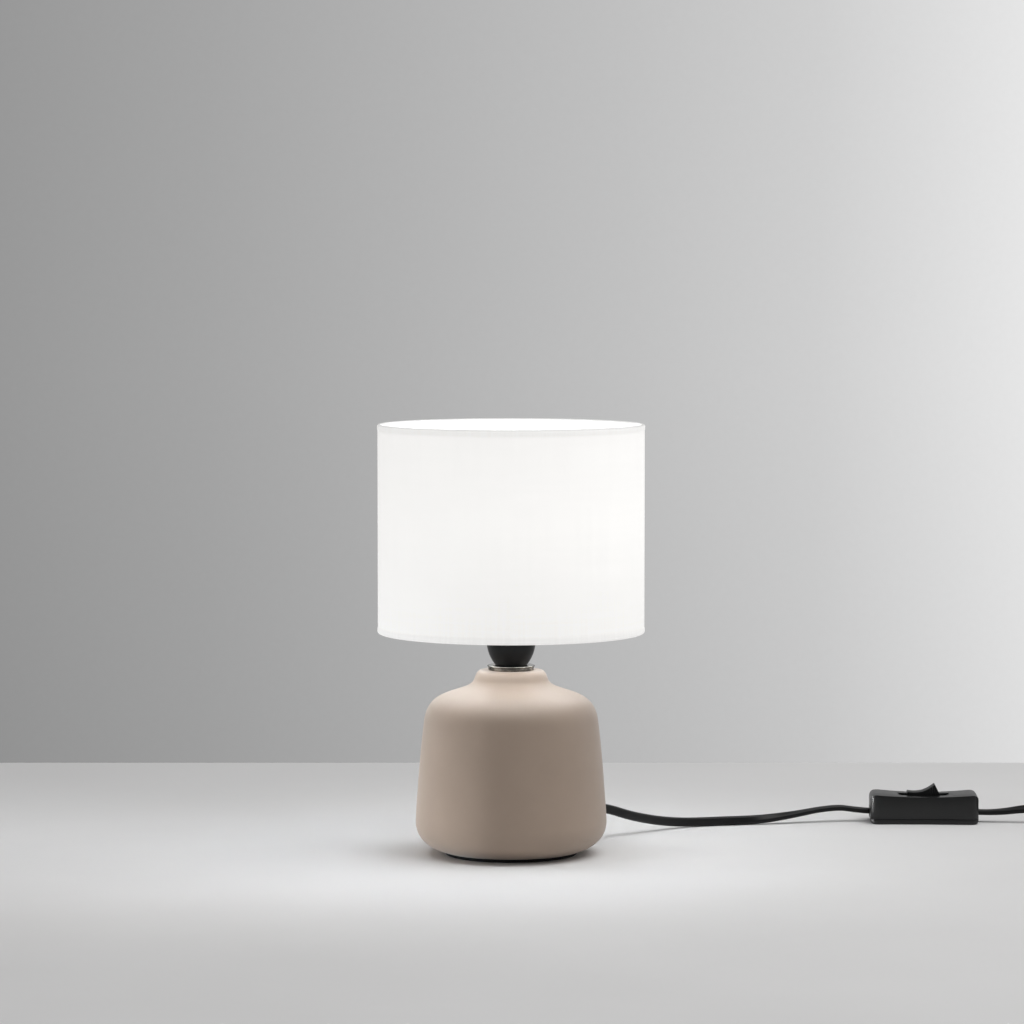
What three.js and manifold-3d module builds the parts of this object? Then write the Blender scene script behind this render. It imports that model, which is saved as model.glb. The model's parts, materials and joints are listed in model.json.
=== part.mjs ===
// A small bedside table lamp: a hollow matt ceramic body on a foam pad, an E14 lampholder on a short
// threaded tube, a white fabric drum shade on a three-armed spider, a screw-in globe bulb, and a flat
// two-core cord with an in-line rocker switch and a two-pin plug at its end.
// Millimetres, +Z up. The origin is the centre of the lamp's foot, on the surface that it stands on.

import * as THREE from "three";
import { mergeVertices } from "three/addons/utils/BufferGeometryUtils.js";
import Module from "manifold-3d";

const wasm = await Module();
wasm.setup();

// ---------------------------------------------------------------- driving dimensions

const LAMP_HEIGHT = 250;
const SHADE_RADIUS = 77.5;
const SHADE_HEIGHT = 121;
const BODY_RADIUS = 55.5;
const BODY_TOP = 107.3;
const FOOT_RADIUS = 38.5;
const PAD_THICK = 2;

const TUBE_RADIUS = 5; // M10 x 1 threaded tube
const TUBE_BORE = 3.9;
const TUBE_TOP = 117.3;
const NECK_CAP_RADIUS = 13.85;
const NECK_CAP_THICK = 2.8;

const HOLDER_BASE = BODY_TOP + NECK_CAP_THICK;
const HOLDER_RADIUS = 14.1;
const HOLDER_TOP = 158;
const FLANGE_TOP = 137.6;
const HUB_THICK = 1.5;

const WIRE_RADIUS = 1.25;
const FABRIC_THICK = 0.6;

const BULB_TIP = 129;
const GLOBE_RADIUS = 22.5;
const GLOBE_CENTRE = 184;

const CORD_WIDTH = 5.6;
const CORD_RADIUS = CORD_WIDTH / 2;
const CORD_REST = CORD_RADIUS + 0.15; // height of the axis where the cord lies on the table
const EXIT_HEIGHT = 20;
const EXIT_AZIMUTH = -Math.PI / 4; // about +Z, from +Y towards +X

const SWITCH_LENGTH = 66.2;
const SWITCH_WIDTH = 29;
const SWITCH_WAIST = 26.6;
const SWITCH_HEIGHT = 17.9;
const SWITCH_SADDLE = 16.6;
const SWITCH_HEEL = 3.1; // rounding of the case's lower corners
const SWITCH_SHOULDER = 4.2; // and of its upper corners
const SWITCH_PLACE = new THREE.Vector3(252.9, 130.6, 0);
const SWITCH_TURN = THREE.MathUtils.degToRad(-2.5);
const PARTING_HEIGHT = 3.3;
const ROCKER_PIVOT = 14.2;
const ROCKER_TILT = THREE.MathUtils.degToRad(15);

const COIL_CENTRE = new THREE.Vector3(365, 161, 0);
const COIL_INNER = 23;
const COIL_OUTER = 39;
const COIL_BOTTOM = 0.7;
const COIL_HEIGHT = 11.6;

const PLUG_PLACE = new THREE.Vector3(438, 120.8, 0);
const PLUG_TURN = THREE.MathUtils.degToRad(-1);
const PLUG_THICK = 13.7;
const PLUG_WIDTH = 35.3;


// ---------------------------------------------------------------- materials

const finish = (color, roughness, metalness = 0) =>
  new THREE.MeshStandardMaterial({ color, roughness, metalness });

const MATT_TAUPE = finish(0x9c8878, 0.75);
const BLACK_PLASTIC = finish(0x17181a, 0.45);
const BLACK_FOAM = finish(0x0c0c0c, 0.95);
const NICKEL = finish(0xb9b4a8, 0.18, 1);
const STEEL = finish(0x9a9c9e, 0.35, 1);
const BRASS = finish(0xb08d4a, 0.35, 1);
const WHITE_FABRIC = finish(0xf4f3ef, 0.9);
const WHITE_ENAMEL = finish(0xe9e9e6, 0.4);
const OPAL = finish(0xfbf8f0, 0.35);
const WHITE_PLASTIC = finish(0xeeeeea, 0.5);
const PORCELAIN = finish(0xdedbd2, 0.5);
const BLACK_PVC = finish(0x141516, 0.5);
const BROWN_PVC = finish(0x5a3a24, 0.5);
const BLUE_PVC = finish(0x2a5aa0, 0.5);

// ---------------------------------------------------------------- helpers

const lamp = new THREE.Group();

function add(name, geometry, material, parent = lamp) {
  const mesh = new THREE.Mesh(geometry, material);
  mesh.name = name;
  parent.add(mesh);
  return mesh;
}

const at = (x, y, z = 0) => new THREE.Matrix4().makeTranslation(x, y, z);
const moved = (geometry, ...matrices) =>
  matrices.reduce((g, m) => g.applyMatrix4(m), geometry.clone());
const alongX = new THREE.Matrix4().makeRotationY(Math.PI / 2);
const alongY = new THREE.Matrix4().makeRotationX(-Math.PI / 2);

// Turns a profile of [radius, height] points, listed anticlockwise with the radius to the right, about +Z.
function turned(profile, segments = 32) {
  const points = profile.map(([r, z]) => new THREE.Vector2(Math.max(r, 0), z));
  return new THREE.LatheGeometry(points, segments).rotateX(Math.PI / 2);
}

// A closed profile: the last point is joined back to the first.
const turnedRing = (profile, segments) => turned([...profile, profile[0]], segments);

// A plain tube with its axis on +Z.
const sleeve = (inner, outer, bottom, top, segments = 32) =>
  turnedRing(
    [
      [inner, bottom],
      [outer, bottom],
      [outer, top],
      [inner, top],
    ],
    segments,
  );

function rod(radius, bottom, top, segments = 24) {
  const made = new THREE.CylinderGeometry(radius, radius, top - bottom, segments);
  return made.rotateX(Math.PI / 2).translate(0, 0, (top + bottom) / 2);
}

const box = (x, y, z, cx = 0, cy = 0, cz = 0) =>
  new THREE.BoxGeometry(x, y, z).translate(cx, cy, cz);

const prism = (shape, depth, curveSegments = 8) =>
  new THREE.ExtrudeGeometry(shape, { depth, bevelEnabled: false, curveSegments });

function polygon(points) {
  return new THREE.Shape(points.map(([x, y]) => new THREE.Vector2(x, y)));
}

function circle(radius, sides) {
  const points = [];
  for (let i = 0; i < sides; i++) {
    const a = (2 * Math.PI * i) / sides;
    points.push([radius * Math.cos(a), radius * Math.sin(a)]);
  }
  return polygon(points);
}

// A round tube along a smooth curve through the points.
function tubeAlong(points, radius, steps, sides = 8) {
  const curve = new THREE.CatmullRomCurve3(points.map((p) => new THREE.Vector3(...p)));
  return new THREE.ExtrudeGeometry(circle(radius, sides), { steps, extrudePath: curve });
}

function solid(geometry) {
  const bare = geometry.clone();
  bare.deleteAttribute("normal");
  bare.deleteAttribute("uv");
  const merged = mergeVertices(bare, 1e-4);
  const mesh = new wasm.Mesh({
    numProp: 3,
    vertProperties: new Float32Array(merged.attributes.position.array),
    triVerts: new Uint32Array(merged.index.array),
  });
  return new wasm.Manifold(mesh);
}

function geometryOf(manifold) {
  const mesh = manifold.getMesh();
  const geometry = new THREE.BufferGeometry();
  geometry.setAttribute("position", new THREE.BufferAttribute(mesh.vertProperties, 3));
  geometry.setIndex(new THREE.BufferAttribute(mesh.triVerts, 1));
  return geometry;
}

function cut(geometry, ...tools) {
  return geometryOf(tools.reduce((s, t) => s.subtract(solid(t)), solid(geometry)));
}

function joined(geometry, ...others) {
  return geometryOf(others.reduce((s, t) => s.add(solid(t)), solid(geometry)));
}

const common = (a, b) => geometryOf(solid(a).intersect(solid(b)));

// ---------------------------------------------------------------- ceramic body and its foot

function bodyOutline() {
  const path = new THREE.Path();
  path.moveTo(31, PAD_THICK);
  path.lineTo(39.5, PAD_THICK);
  path.bezierCurveTo(49, 4.2, 56, 10.5, BODY_RADIUS, 20);
  path.quadraticCurveTo(53.9, 50, 50.7, 76);
  path.bezierCurveTo(50, 85.5, 46.3, 90.4, 38.5, 93.3);
  path.bezierCurveTo(29, 96.8, 22.8, 97.6, 21.3, 102.2);
  path.bezierCurveTo(20.4, 104.9, 19.6, BODY_TOP, 16.6, BODY_TOP);
  path.lineTo(5.4, BODY_TOP);
  path.lineTo(5.4, 101.6);
  path.lineTo(15.5, 101.2);
  path.bezierCurveTo(17, 94, 27, 91.5, 34, 88.8);
  path.bezierCurveTo(42, 86, 45.6, 83, 46.2, 74);
  path.quadraticCurveTo(49.2, 50, 50.8, 20);
  path.bezierCurveTo(50.6, 12.5, 44.5, 8.6, 31, 7.6);
  return path.getPoints(5).map((p) => [p.x, p.y]);
}

function ceramicBody() {
  const wall = turnedRing(bodyOutline(), 48);
  const hole = moved(rod(4.4, 0, 20, 16), alongY, at(0, 44, EXIT_HEIGHT));
  return cut(wall, hole.rotateZ(EXIT_AZIMUTH));
}

add("ceramic_body", ceramicBody(), MATT_TAUPE);
add("foot_pad", rod(FOOT_RADIUS, 0, PAD_THICK, 48), BLACK_FOAM);

// ---------------------------------------------------------------- threaded tube through the neck

const CLAMP_FACE = 101.2; // underside of the neck, inside the body
const hexagon = circle(8.2, 6);
hexagon.holes.push(circle(TUBE_RADIUS + 0.1, 32));

add("threaded_tube", sleeve(TUBE_BORE, TUBE_RADIUS, 92, TUBE_TOP), STEEL);
add("tube_washer", sleeve(5.3, 12.5, CLAMP_FACE - 1.9, CLAMP_FACE - 0.4), STEEL);
add("tube_nut", prism(hexagon, 3).translate(0, 0, CLAMP_FACE - 5), STEEL);
add(
  "neck_cap",
  turnedRing([
    [5.3, BODY_TOP],
    [13.2, BODY_TOP],
    [13.5, BODY_TOP + 0.4],
    [13.4, BODY_TOP + 1.9],
    [NECK_CAP_RADIUS, BODY_TOP + 2.3],
    [NECK_CAP_RADIUS, HOLDER_BASE - 0.1],
    [13.5, HOLDER_BASE],
    [5.3, HOLDER_BASE],
  ]),
  NICKEL,
);

// ---------------------------------------------------------------- lampholder

const CAP_RIM = 124;

function holderCap() {
  const path = new THREE.Path();
  path.moveTo(TUBE_RADIUS + 0.1, HOLDER_BASE);
  path.lineTo(9.3, HOLDER_BASE);
  path.bezierCurveTo(11.4, 113, 13.9, 117.5, 14.3, CAP_RIM);
  path.lineTo(12.4, CAP_RIM);
  path.lineTo(12.4, 118);
  path.lineTo(10.2, 114.4);
  path.lineTo(7.4, 114.4);
  path.lineTo(7.4, TUBE_TOP);
  path.lineTo(TUBE_RADIUS + 0.1, TUBE_TOP);
  return turnedRing(path.getPoints(8).map((p) => [p.x, p.y]));
}

add("holder_cap", holderCap(), BLACK_PLASTIC);
add(
  "holder_barrel",
  turnedRing([
    [11.3, 118.4],
    [12.2, 118.4],
    [12.2, CAP_RIM + 0.1],
    [HOLDER_RADIUS, CAP_RIM + 0.1],
    [HOLDER_RADIUS, FLANGE_TOP - 1.8],
    [17.2, FLANGE_TOP - 1.6],
    [17.2, FLANGE_TOP],
    [13.9, FLANGE_TOP],
    [13.9, 154],
    [12.9, 154.6],
    [12.9, HOLDER_TOP],
    [11.8, HOLDER_TOP],
    [11.3, 156],
  ]),
  BLACK_PLASTIC,
);

const insertBody = turnedRing([
  [2.6, 121.4],
  [11.1, 121.4],
  [11.1, 131],
  [9.6, 132],
  [9.6, 136],
  [8.2, 136],
  [8.2, 130],
  [2.6, 127],
]);
const terminalSlot = (side) => box(3.4, 4.4, 6, side * 8.6, 0, 123.4);
add("holder_insert", cut(insertBody, terminalSlot(1), terminalSlot(-1)), PORCELAIN);
add("holder_screw_shell", sleeve(7.25, 7.7, 130.6, 151), NICKEL);

// The centre contact is a brass tongue under the bulb's tip, and the side contact runs up beside the shell.
add(
  "centre_contact",
  joined(box(4.4, 3.4, 0.6, 0, 0, 128.2), box(2.2, 2.4, 6.6, 0, 0, 125)),
  BRASS,
);
add("side_contact", box(0.7, 3, 14, 8.8, 0, 143.6), BRASS);
for (const [i, side] of [1, -1].entries()) {
  const screw = joined(rod(1.3, -1.6, 1, 12), rod(1, 0.9, 2.4, 12));
  add(`holder_terminal_screw_${i + 1}`, moved(screw, at(side * 8.6, 0, 122.6)), BRASS);
}

// ---------------------------------------------------------------- lead inside the lamp

const CORE_RADIUS = 1.15;
const leadRoute = [
  [0, 45, EXIT_HEIGHT],
  [0, 38, 19.4],
  [0, 28, 21],
  [0, 18, 32],
  [0, 9, 52],
  [0, 3, 74],
  [0, 0, 91],
];
add("inner_lead", tubeAlong(leadRoute, CORD_RADIUS, 28).rotateZ(EXIT_AZIMUTH), BLACK_PVC);
for (const [name, side, material] of [
  ["live_core", 1, BROWN_PVC],
  ["neutral_core", -1, BLUE_PVC],
]) {
  const route = [
    [side * 1.7, 0, 91.6],
    [side * 1.8, 0, 100],
    [side * 1.9, 0, 110],
    [side * 2.1, 0, 116.5],
    [side * 2.9, 0, 118.7],
    [side * 4.8, 0, 119.9],
  ];
  add(name, tubeAlong(route, CORE_RADIUS, 12), material);
}

const bushingOutline = turnedRing(
  [
    [CORD_RADIUS + 0.2, 45.6],
    [5.6, 45.6],
    [5.6, 47.4],
    [4.1, 48.2],
    [4.1, 57],
    [6.4, 57.2],
    [6.2, 58.6],
    [4.1, 61],
    [3.7, 66],
    [CORD_RADIUS + 0.2, 66],
  ],
  24,
);
add(
  "cord_bushing",
  moved(bushingOutline, alongY, at(0, 0, EXIT_HEIGHT)).rotateZ(EXIT_AZIMUTH),
  BLACK_PLASTIC,
);

// ---------------------------------------------------------------- bulb

add(
  "bulb_tip_contact",
  turned([
    [0, BULB_TIP],
    [1.6, BULB_TIP + 0.3],
    [2.3, BULB_TIP + 1.2],
    [2.3, BULB_TIP + 1.8],
    [0, BULB_TIP + 1.8],
  ]),
  NICKEL,
);
add(
  "bulb_insulator",
  turned([
    [0, BULB_TIP + 1.9],
    [2.8, BULB_TIP + 1.9],
    [5.6, BULB_TIP + 4.4],
    [5.6, BULB_TIP + 5.6],
    [0, BULB_TIP + 5.6],
  ]),
  BLACK_PLASTIC,
);
add(
  "bulb_cap",
  turnedRing([
    [0.8, BULB_TIP + 5.7],
    [5.9, BULB_TIP + 5.7],
    [6.9, BULB_TIP + 8],
    [6.9, BULB_TIP + 22],
    [8.3, BULB_TIP + 23.5],
    [8.3, BULB_TIP + 26],
    [0.8, BULB_TIP + 26],
  ]),
  NICKEL,
);
add(
  "bulb_collar",
  turnedRing([
    [0.8, BULB_TIP + 26.1],
    [8.8, BULB_TIP + 26.1],
    [10, BULB_TIP + 31],
    [13.5, BULB_TIP + 37.5],
    [18.6, BULB_TIP + 44],
    [0.8, BULB_TIP + 44],
  ]),
  WHITE_PLASTIC,
);

function bulbGlobe() {
  const cutHeight = BULB_TIP + 44.1 - GLOBE_CENTRE;
  const first = Math.asin(cutHeight / GLOBE_RADIUS);
  const profile = [[0, GLOBE_CENTRE + cutHeight]];
  for (let i = 0; i <= 10; i++) {
    const a = first + ((Math.PI / 2 - first) * i) / 10;
    profile.push([GLOBE_RADIUS * Math.cos(a), GLOBE_CENTRE + GLOBE_RADIUS * Math.sin(a)]);
  }
  return turned(profile);
}

add("bulb_globe", bulbGlobe(), OPAL);

// ---------------------------------------------------------------- shade ring and shade

const HUB_TOP = FLANGE_TOP + HUB_THICK;
add(
  "shade_ring",
  turnedRing([
    [14.2, HUB_TOP + 0.1],
    [18.2, HUB_TOP + 0.1],
    [18.2, HUB_TOP + 5.6],
    [17.6, HUB_TOP + 6.4],
    [14.2, HUB_TOP + 6.4],
  ]),
  BLACK_PLASTIC,
);

const SHADE_BOTTOM = LAMP_HEIGHT - SHADE_HEIGHT;
const HEM_RADIUS = WIRE_RADIUS + FABRIC_THICK; // fabric rolled round the edge wire
const WIRE_CENTRE = SHADE_RADIUS - HEM_RADIUS;
const LOWER_WIRE = SHADE_BOTTOM + HEM_RADIUS;
const UPPER_WIRE = LAMP_HEIGHT - HEM_RADIUS;

// The skin's section: a thin wall whose two edges curl inwards round the wires.
function shadeSkin() {
  const inner = WIRE_RADIUS + 0.1;
  const curl = (height, radius, from, to) =>
    Array.from({ length: 6 }, (_, i) => {
      const a = from + ((to - from) * i) / 5;
      return [WIRE_CENTRE + radius * Math.cos(a), height + radius * Math.sin(a)];
    });
  return turnedRing(
    [
      ...curl(LOWER_WIRE, HEM_RADIUS, -Math.PI, 0),
      ...curl(UPPER_WIRE, HEM_RADIUS, 0, Math.PI),
      ...curl(UPPER_WIRE, inner, Math.PI, 0),
      ...curl(LOWER_WIRE, inner, 0, -Math.PI),
    ],
    48,
  );
}

const wireRing = (height) =>
  new THREE.TorusGeometry(WIRE_CENTRE, WIRE_RADIUS, 8, 48).translate(0, 0, height);

add("shade_fabric", shadeSkin(), WHITE_FABRIC);
add("shade_top_wire", wireRing(UPPER_WIRE), WHITE_ENAMEL);
add("shade_bottom_wire", wireRing(LOWER_WIRE), WHITE_ENAMEL);
add("spider_hub", sleeve(14.4, 22.5, FLANGE_TOP + 0.1, HUB_TOP), WHITE_ENAMEL);

const ARM_COUNT = 3;
const armRoute = [
  [19.6, 0, HUB_TOP + WIRE_RADIUS],
  [24, 0, HUB_TOP + WIRE_RADIUS],
  [34, 0, HUB_TOP + 0.4],
  [56, 0, LOWER_WIRE + 5],
  [66, 0, LOWER_WIRE + 3.4],
  [WIRE_CENTRE + 0.2, 0, LOWER_WIRE + HEM_RADIUS + WIRE_RADIUS + 0.1],
];
for (let i = 0; i < ARM_COUNT; i++) {
  const arm = tubeAlong(armRoute, WIRE_RADIUS, 14);
  add(`spider_arm_${i + 1}`, arm.rotateZ(Math.PI / 2 + (2 * Math.PI * i) / ARM_COUNT), WHITE_ENAMEL);
}

// ---------------------------------------------------------------- free cord

const lampSideRoute = [
  [47, 47, EXIT_HEIGHT],
  [52, 52, 19.3],
  [57, 57, 18],
  [62, 62, 16.1],
  [67.2, 67.2, 13.8],
  [73.5, 74.2, 11.2],
  [80, 81.6, 8.9],
  [87.5, 89.6, 6.6],
  [96, 97.4, 4.7],
  [105.6, 104.2, 3.4],
  [117, 109, CORD_REST],
  [129.6, 112.6, CORD_REST],
  [142, 115.6, CORD_REST],
  [155.3, 118.8, 3.5],
  [171.8, 123.2, 5.3],
  [188.2, 127.6, 7.7],
  [200.9, 130.6, 8.5],
  [210.2, 132, 7.4],
  [220, 132.05, 6.5],
  [230.8, 131.57, 6.4],
];
const plugSideRoute = [
  [274.9, 129.64, 6.2],
  [286.4, 129.14, 6.1],
  [294.4, 128.7, 6.1],
  [303, 127.6, 6.8],
  [313, 126.3, 8.2],
  [323, 125, 8.8],
  [334, 124.2, 7.2],
  [346.5, 124, 4.6],
];
const tailRoute = [
  [383.5, 123.6, 7.4],
  [395, 123, 4.6],
  [408, 122.3, 3.2],
  [420, 121.6, 4.2],
  [430, 121.1, 6],
  [437.6, 120.81, PLUG_THICK / 2],
];
add("cord_lamp_side", tubeAlong(lampSideRoute, CORD_RADIUS, 44), BLACK_PVC);
add("cord_plug_side", tubeAlong(plugSideRoute, CORD_RADIUS, 18), BLACK_PVC);
add("cord_tail", tubeAlong(tailRoute, CORD_RADIUS, 14), BLACK_PVC);
add(
  "cord_coil",
  sleeve(COIL_INNER, COIL_OUTER, COIL_BOTTOM, COIL_BOTTOM + COIL_HEIGHT).translate(
    COIL_CENTRE.x,
    COIL_CENTRE.y,
    0,
  ),
  BLACK_PVC,
);

// A strap round the coil's bundle, on its far side.
function coilTie() {
  const slack = 0.7;
  const lift = 0.2;
  const thick = 0.4;
  const loop = (grow) => [
    [COIL_INNER - slack - grow, COIL_BOTTOM - lift - grow],
    [COIL_OUTER + slack + grow, COIL_BOTTOM - lift - grow],
    [COIL_OUTER + slack + grow, COIL_BOTTOM + COIL_HEIGHT + lift + grow],
    [COIL_INNER - slack - grow, COIL_BOTTOM + COIL_HEIGHT + lift + grow],
  ];
  const outline = polygon(loop(thick));
  outline.holes.push(polygon(loop(0).reverse()));
  const strap = prism(outline, 8).translate(0, 0, -4);
  return moved(strap, new THREE.Matrix4().makeRotationX(Math.PI / 2)).rotateZ(Math.PI / 2);
}

add("coil_tie", coilTie().translate(COIL_CENTRE.x, COIL_CENTRE.y, 0), BLACK_PVC);

// ---------------------------------------------------------------- in-line switch

const inlineSwitch = new THREE.Group();
inlineSwitch.position.copy(SWITCH_PLACE);
inlineSwitch.rotation.z = SWITCH_TURN;
lamp.add(inlineSwitch);

// The plan: a long rectangle with round corners and slightly hollow sides, drawn inset from the outside.
function switchPlan(inset = 0) {
  const x = SWITCH_LENGTH / 2 - inset;
  const y = SWITCH_WIDTH / 2 - inset;
  const waist = SWITCH_WAIST - SWITCH_WIDTH / 2 - inset; // control point of the hollow side
  const corner = 6.5 - inset * 0.8;
  const plan = new THREE.Shape();
  plan.moveTo(-x + corner, -y);
  plan.quadraticCurveTo(0, -waist, x - corner, -y);
  plan.quadraticCurveTo(x, -y, x, -y + corner);
  plan.lineTo(x, y - corner);
  plan.quadraticCurveTo(x, y, x - corner, y);
  plan.quadraticCurveTo(0, waist, -x + corner, y);
  plan.quadraticCurveTo(-x, y, -x, y - corner);
  plan.lineTo(-x, -y + corner);
  plan.quadraticCurveTo(-x, -y, -x + corner, -y);
  return plan;
}

// The side view of the closed case: its corners are round, and its top sags to a saddle in the middle.
function saddleProfile(bottom, drop = 0) {
  const x = SWITCH_LENGTH / 2 + 0.02;
  const top = SWITCH_HEIGHT - drop;
  const sag = 2 * (SWITCH_SADDLE - drop) - top; // control point
  const side = new THREE.Shape();
  side.moveTo(-x + SWITCH_HEEL, bottom);
  side.lineTo(x - SWITCH_HEEL, bottom);
  side.quadraticCurveTo(x, bottom, x, bottom + SWITCH_HEEL);
  side.lineTo(x, top - SWITCH_SHOULDER);
  side.quadraticCurveTo(x, top, x - SWITCH_SHOULDER, top);
  side.quadraticCurveTo(0, sag, -x + SWITCH_SHOULDER, top);
  side.quadraticCurveTo(-x, top, -x, top - SWITCH_SHOULDER);
  side.lineTo(-x, bottom + SWITCH_HEEL);
  side.quadraticCurveTo(-x, bottom, -x + SWITCH_HEEL, bottom);
  return moved(prism(side, 40, 6).translate(0, 0, -20), new THREE.Matrix4().makeRotationX(Math.PI / 2));
}

const SHELL_WALL = 1.9;
const TRAY_FLOOR = 1.6;
const SLOT_LENGTH = 21.4;
const SLOT_WIDTH = 11.4;
const cordNotch = (side) => box(12, 6.4, 6.8, side * 34, 0, 6.5);

const CASE_SCREWS = [
  [-21.8, 7.4],
  [21.8, -7.4],
];
const SCOOP_RADIUS = 8;
const SCOOP_DEPTH = 1.5;
const CLAMP_X = 27;
const CLAMP_SCREW_Y = 5.6;
const TERMINAL_X = 14;

function upperShell() {
  const outside = common(
    prism(switchPlan(), 30).translate(0, 0, PARTING_HEIGHT + 0.1),
    saddleProfile(0),
  );
  const inside = common(
    prism(switchPlan(SHELL_WALL), 30).translate(0, 0, PARTING_HEIGHT - 1),
    saddleProfile(0, 2.3),
  );
  const bearing = moved(rod(1.75, -7.2, 7.2, 16), alongY, at(0, 0, ROCKER_PIVOT));
  const slot = box(SLOT_LENGTH, SLOT_WIDTH, 12, 0, 0, 16);
  const scoopHeight = SWITCH_SADDLE - SCOOP_DEPTH + SCOOP_RADIUS;
  const scoop = moved(rod(SCOOP_RADIUS, -SLOT_WIDTH / 2, SLOT_WIDTH / 2, 48), alongY);
  const scoops = [-1, 1].map((s) => moved(scoop, at((s * SLOT_LENGTH) / 2, 0, scoopHeight)));
  const cheeks = [-1, 1].map((s) => box(9, 2, 6.6, 0, s * (SLOT_WIDTH / 2 + 1), 12.6));
  const bosses = CASE_SCREWS.map(([x, y]) => rod(2.6, PARTING_HEIGHT + 0.1, 15.2, 16).translate(x, y, 0));
  const threads = CASE_SCREWS.map(([x, y]) => rod(1.5, 0, 11.4, 12).translate(x, y, 0));
  const filled = joined(cut(outside, inside), ...cheeks, ...bosses);
  return cut(filled, slot, ...scoops, bearing, cordNotch(1), cordNotch(-1), ...threads);
}

function lowerCover() {
  const tray = common(prism(switchPlan(), PARTING_HEIGHT - 0.1), saddleProfile(0));
  const hollow = prism(switchPlan(SHELL_WALL), 4).translate(0, 0, TRAY_FLOOR);
  const pivotPost = box(1.6, 5, 4.2, 0, 0, 3.5);
  const pillars = [-1, 1].flatMap((side) => [
    rod(2.3, TRAY_FLOOR - 0.2, 9.2, 16).translate(side * CLAMP_X, CLAMP_SCREW_Y, 0),
    box(5, 4, 2, side * TERMINAL_X, 0, 2.3),
  ]);
  const threads = [-1, 1].map((side) => rod(1.2, 3.5, 10, 12).translate(side * CLAMP_X, CLAMP_SCREW_Y, 0));
  const screwHoles = CASE_SCREWS.map(([x, y]) => moved(rod(1.7, -1, 4, 12), at(x, y)));
  const heads = CASE_SCREWS.map(([x, y]) => moved(rod(2.7, -1, 0.9, 16), at(x, y)));
  return cut(joined(cut(tray, hollow), pivotPost, ...pillars), ...threads, ...screwHoles, ...heads);
}

add("switch_upper_shell", upperShell(), BLACK_PLASTIC, inlineSwitch);
add("switch_lower_cover", lowerCover(), BLACK_PLASTIC, inlineSwitch);
for (const [i, [x, y]] of CASE_SCREWS.entries()) {
  const screw = joined(rod(2.4, 0.3, 0.8, 16), rod(1.4, 0.7, 11, 12));
  add(`switch_case_screw_${i + 1}`, moved(screw, at(x, y)), STEEL, inlineSwitch);
}

// The rocker is drawn level, with its pivot at the origin, and tilted with its right-hand end up.
const rockerGroup = new THREE.Group();
rockerGroup.position.z = ROCKER_PIVOT;
rockerGroup.rotation.y = -ROCKER_TILT;
inlineSwitch.add(rockerGroup);

function rocker() {
  const side = new THREE.Shape();
  side.moveTo(-9.6, -2);
  side.lineTo(9.6, -2);
  side.lineTo(10.1, 0);
  side.lineTo(8.9, 6.4);
  side.quadraticCurveTo(8.7, 7.3, 7.9, 6.9);
  side.quadraticCurveTo(4.2, 5.2, 0, 5);
  side.quadraticCurveTo(-4.2, 5.2, -7.9, 6.9);
  side.quadraticCurveTo(-8.7, 7.3, -8.9, 6.4);
  side.lineTo(-10.1, 0);
  const half = (SLOT_WIDTH - 0.8) / 2;
  const turn = new THREE.Matrix4().makeRotationX(Math.PI / 2);
  const key = moved(prism(side, 2 * half).translate(0, 0, -half), turn);
  const trunnions = moved(rod(1.45, -half - 1.1, half + 1.1, 16), alongY);
  return cut(joined(key, trunnions), rod(2.1, -3, 2.4, 16));
}

add("rocker", rocker(), BLACK_PLASTIC, rockerGroup);
add("rocker_spring", sleeve(1, 1.7, -1.4, 2.1, 16), STEEL, rockerGroup);
add(
  "rocker_plunger",
  turned(
    [
      [0, -6.4],
      [1, -6.1],
      [1.5, -5.3],
      [1.9, -4.6],
      [1.9, -1.6],
      [0, -1.6],
    ],
    16,
  ),
  WHITE_PLASTIC,
  rockerGroup,
);

// The contact blade rocks on a post against the rocker, and bridges the two terminals.
const BLADE_PIVOT = 6.4;
const BLADE_TILT = THREE.MathUtils.degToRad(7.5);
const bladeGroup = new THREE.Group();
bladeGroup.position.z = BLADE_PIVOT;
bladeGroup.rotation.y = BLADE_TILT;
inlineSwitch.add(bladeGroup);
add(
  "contact_blade",
  joined(box(15, 3.6, 0.6, 0, 0, 0.9), box(2, 3.6, 1.2, 0, 0, 0.2)),
  BRASS,
  bladeGroup,
);
for (const [i, side] of [-1, 1].entries()) {
  const block = joined(
    box(6, 5, 5.4, side * TERMINAL_X, 0, 6.2),
    box(4.6, 3, 0.7, side * 9.4, 0, 5.25),
  );
  const bore = moved(rod(1.05, -5, 5, 12), alongX, at(side * 15, 0, 6.4));
  const screw = joined(rod(1.9, 9.1, 10.2, 16), rod(1.2, 8.2, 9.2, 12));
  const threadHole = moved(rod(1.4, 7, 12, 12), at(side * TERMINAL_X, 0));
  const end = i ? "out" : "in";
  add(`switch_terminal_${end}`, cut(block, bore, threadHole), BRASS, inlineSwitch);
  add(`switch_terminal_screw_${end}`, moved(screw, at(side * TERMINAL_X, 0)), STEEL, inlineSwitch);
  // The clamp bar presses the sheath just inside each end wall, and one screw holds it.
  const bar = box(4.6, 15, 1.8, side * CLAMP_X, 0, 10.4);
  const clampScrew = joined(rod(1.9, 11.5, 12.5, 16), rod(1.1, 4.5, 11.6, 12));
  const clampHole = moved(rod(1.3, 8, 13, 12), at(side * CLAMP_X, CLAMP_SCREW_Y));
  add(`cord_clamp_${end}`, cut(bar, clampHole), BLACK_PLASTIC, inlineSwitch);
  add(`cord_clamp_screw_${end}`, moved(clampScrew, at(side * CLAMP_X, CLAMP_SCREW_Y)), STEEL, inlineSwitch);
}

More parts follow.
